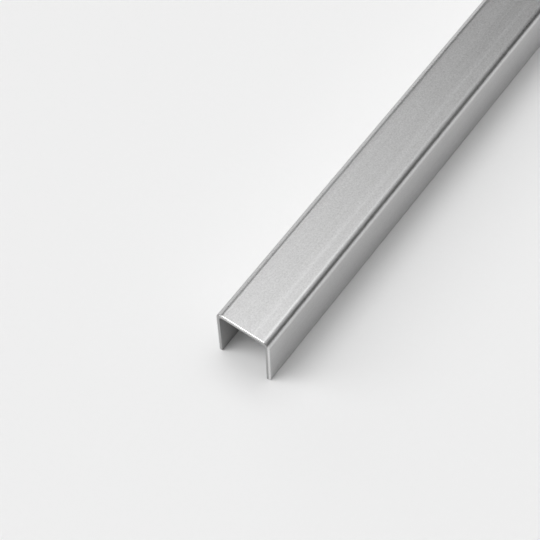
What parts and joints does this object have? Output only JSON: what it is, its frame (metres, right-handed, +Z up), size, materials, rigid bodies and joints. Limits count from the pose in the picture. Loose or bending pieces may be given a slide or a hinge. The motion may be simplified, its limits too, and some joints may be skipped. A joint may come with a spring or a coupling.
{
  "type": "steel u-channel",
  "caption": "Straight U-section channel bent from thin steel sheet, open along its underside and cut square at both ends.",
  "frame": {"origin": "on the floor under the middle of the channel, halfway along it and halfway between its flanges", "axes": "+Y along the channel, +X across it, +Z up through the web, with the flanges pointing down"},
  "size_m": [0.015, 1, 0.017],
  "materials": {
    "steel": "satin"
  },
  "bodies": {
    "root": {"u_channel": "steel"}
  },
  "joints": []
}
